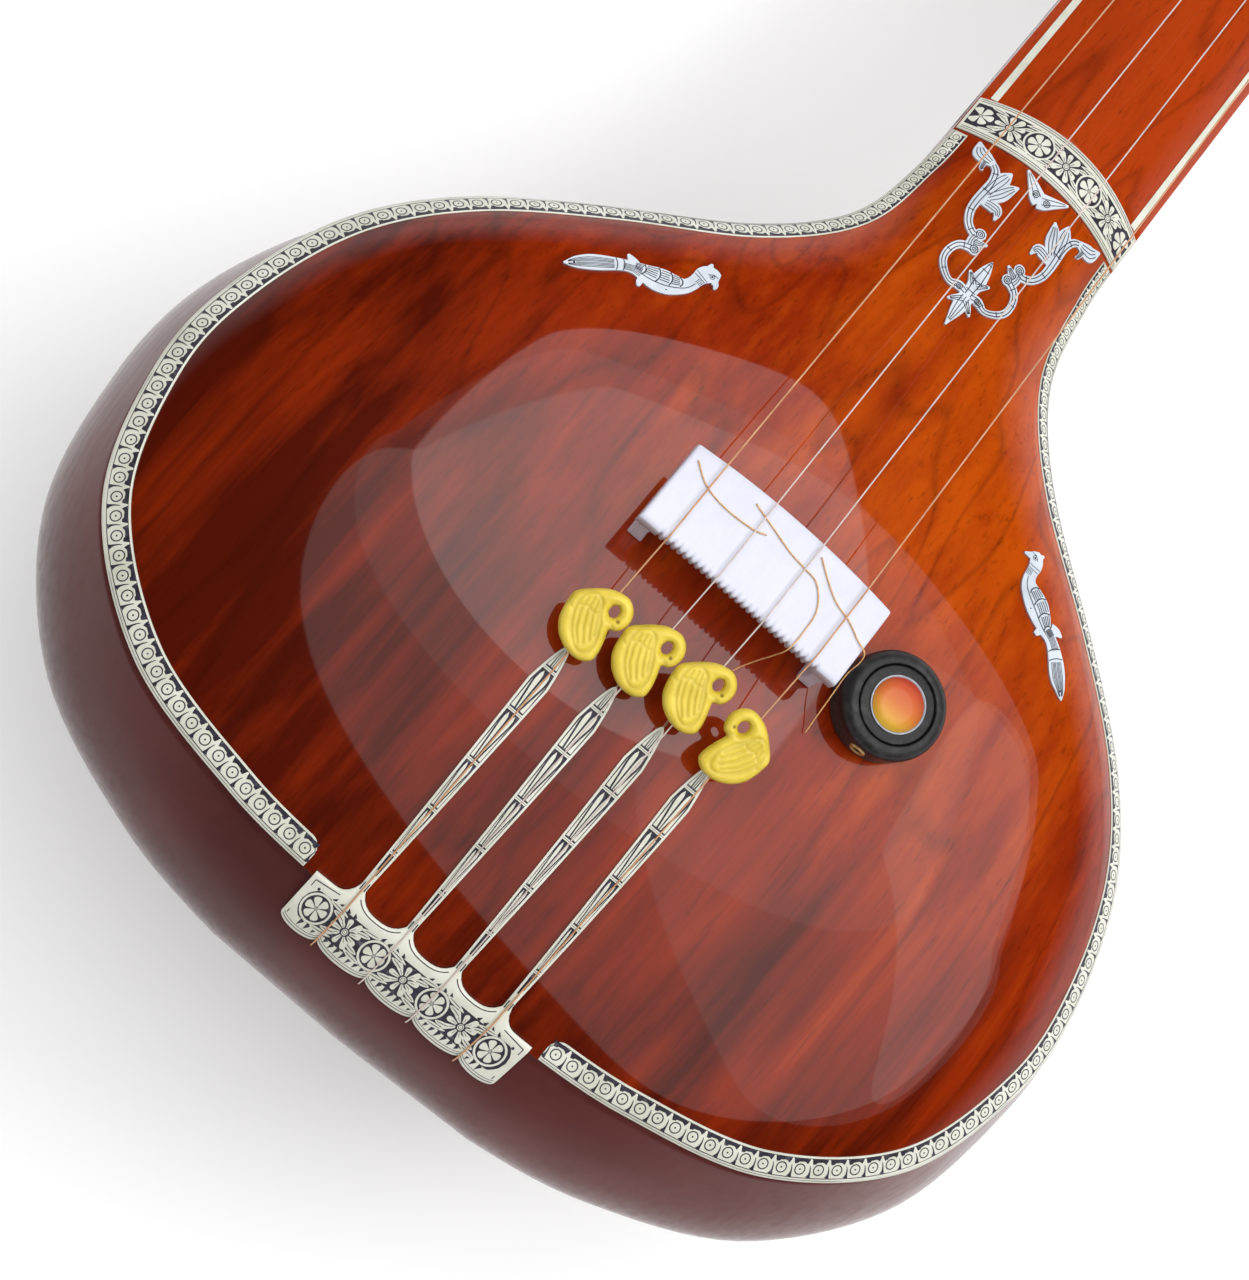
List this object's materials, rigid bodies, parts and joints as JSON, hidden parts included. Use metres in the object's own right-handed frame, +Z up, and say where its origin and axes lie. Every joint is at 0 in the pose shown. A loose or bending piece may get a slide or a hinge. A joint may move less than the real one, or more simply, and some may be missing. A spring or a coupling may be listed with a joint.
{
  "type": "tanpura",
  "caption": "Long-necked drone lute: gourd body, domed soundboard with engraved edging, broad bridge, plucked strings with sliding swan beads, turning pegs and a contact pickup.",
  "frame": {"origin": "middle of the base of the bounding box, on the surface that the instrument lies on", "axes": "+Y runs along the instrument towards the pegs, +Z is up, +X is the side of the thickest string; the instrument lies on its back, soundboard up"},
  "size_m": [0.3962, 1.2454, 0.2642],
  "materials": {
    "gourd_lacquer": "dark plum-brown lacquer, glossy",
    "board_lacquer": "orange-brown lacquer, glossy, straight grain along the neck",
    "inlay_white": "ivory-coloured sheet with dark filled engraving",
    "bone": "bone-like, polished",
    "bridge_white": "white, fine ground surface",
    "inner_wood": "bare, not seen",
    "steel_string": "bright drawn wire",
    "bronze_string": "bronze-coloured wire",
    "brass_bead": "polished",
    "peg_wood": "turned, dark lacquer",
    "bead_yellow": "moulded, satin",
    "thread_cotton": "twisted cotton",
    "pickup_black": "fine satin black",
    "pickup_silver": "thin bright ring",
    "label_print": "printed colour blend without text"
  },
  "bodies": {
    "body": {"gourd_bowl": "gourd_lacquer", "tail_block": "inner_wood", "string_anchor_1": "brass_bead", "string_anchor_2": "brass_bead", "string_anchor_3": "brass_bead", "string_anchor_4": "brass_bead", "border_left": "inlay_white", "border_right": "inlay_white", "tabli": "board_lacquer", "tail_plate": "inlay_white", "string_inlay_1": "inlay_white", "string_inlay_2": "inlay_white", "string_inlay_3": "inlay_white", "string_inlay_4": "inlay_white", "collar_band": "inlay_white", "throat_block": "gourd_lacquer", "neck_back": "gourd_lacquer", "neck_face": "board_lacquer", "neck_cap": "bone", "neck_strip_left": "inlay_white", "neck_strip_right": "inlay_white", "nut": "bone", "string_guide": "bone", "string_1": "bronze_string", "string_2": "steel_string", "string_3": "steel_string", "string_4": "bronze_string", "bridge": "bridge_white", "throat_spray": "inlay_white", "peacock_left": "inlay_white", "peacock_right": "inlay_white", "throat_vine": "inlay_white", "javari_thread_1": "thread_cotton", "javari_thread_2": "thread_cotton", "javari_thread_3": "thread_cotton", "pickup_case": "pickup_black", "pickup_cap": "pickup_black", "pickup_ring": "pickup_silver", "pickup_label": "label_print", "pickup_socket": "brass_bead"},
    "peg_1": {"peg_1": "peg_wood", "winding_1": "bronze_string"},
    "peg_2": {"peg_2": "peg_wood", "winding_2": "steel_string"},
    "peg_3": {"peg_3": "peg_wood", "winding_3": "steel_string"},
    "peg_4": {"peg_4": "peg_wood", "winding_4": "bronze_string"},
    "swan_bead_1": {"swan_bead_1": "bead_yellow"},
    "swan_bead_2": {"swan_bead_2": "bead_yellow"},
    "swan_bead_3": {"swan_bead_3": "bead_yellow"},
    "swan_bead_4": {"swan_bead_4": "bead_yellow"}
  },
  "joints": [
    {"name": "peg_1_turn", "type": "hinge", "parent": "body", "child": "peg_1", "pos_m": [-0.03633, 0.50409, 0.03941], "axis": [-1, 0, 0], "continuous": true},
    {"name": "peg_2_turn", "type": "hinge", "parent": "body", "child": "peg_2", "pos_m": [-0.01, 0.56189, 0.05858], "axis": [0, 0.1596, 0.9872], "continuous": true},
    {"name": "peg_3_turn", "type": "hinge", "parent": "body", "child": "peg_3", "pos_m": [0.01, 0.58754, 0.05428], "axis": [0, 0.1596, 0.9872], "continuous": true},
    {"name": "peg_4_turn", "type": "hinge", "parent": "body", "child": "peg_4", "pos_m": [0.03626, 0.52973, 0.03511], "axis": [1, 0, 0], "continuous": true},
    {"name": "swan_bead_1_slide", "type": "slide", "parent": "body", "child": "swan_bead_1", "axis": [0, 0.9867, 0.1624], "range_m": [-0.03, 0.013]},
    {"name": "swan_bead_2_slide", "type": "slide", "parent": "body", "child": "swan_bead_2", "axis": [0, 0.9867, 0.1628], "range_m": [-0.03, 0.013]},
    {"name": "swan_bead_3_slide", "type": "slide", "parent": "body", "child": "swan_bead_3", "axis": [0, 0.9867, 0.1628], "range_m": [-0.03, 0.013]},
    {"name": "swan_bead_4_slide", "type": "slide", "parent": "body", "child": "swan_bead_4", "axis": [0, 0.9868, 0.1621], "range_m": [-0.03, 0.013]}
  ]
}
